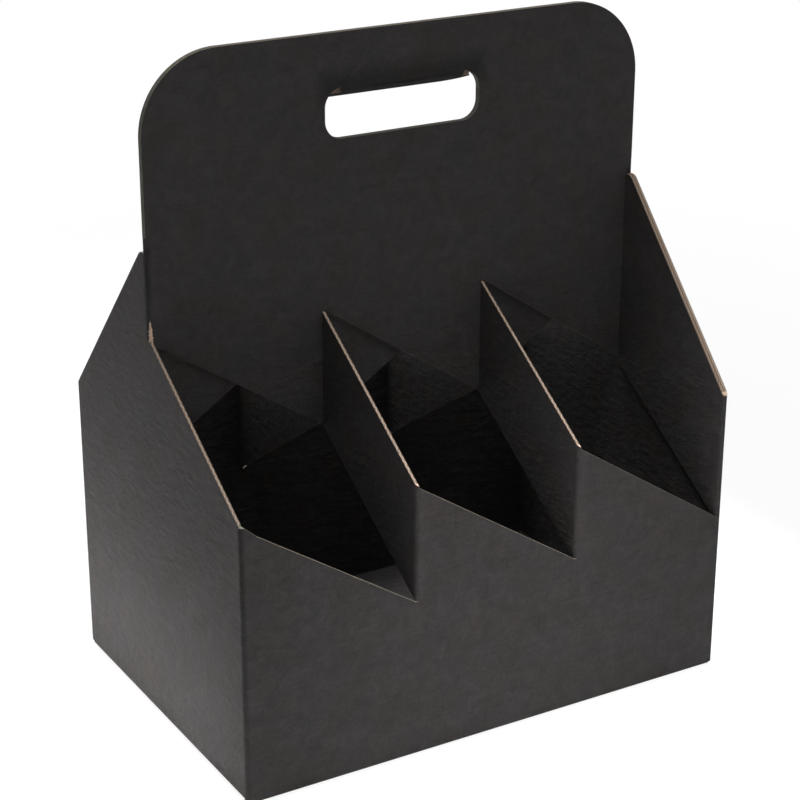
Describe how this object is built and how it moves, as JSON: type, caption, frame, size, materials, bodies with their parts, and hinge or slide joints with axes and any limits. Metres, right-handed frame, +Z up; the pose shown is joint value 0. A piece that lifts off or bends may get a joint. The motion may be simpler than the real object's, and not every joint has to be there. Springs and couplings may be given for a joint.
{
  "type": "wine bottle carrier",
  "caption": "Folded corrugated board carrier for wine bottles, with slanting saw-tooth cells on both sides of a tall double handle panel with a hand hole.",
  "frame": {"origin": "middle of the base, on the surface that the carrier stands on", "axes": "+X along the length to the right as seen from the front, +Y from the front wall to the back wall, +Z up"},
  "size_m": [0.276, 0.184, 0.34],
  "materials": {
    "black_board": "matt"
  },
  "bodies": {
    "carrier": {"carrier": "black_board"},
    "hand_hole_flap": {"hand_hole_flap": "black_board"}
  },
  "joints": [
    {"name": "hand_hole_flap_crease", "type": "hinge", "parent": "carrier", "child": "hand_hole_flap", "pos_m": [0, 0.0016, 0.3135], "axis": [1, 0, 0], "range_deg": [-71, 79]}
  ]
}
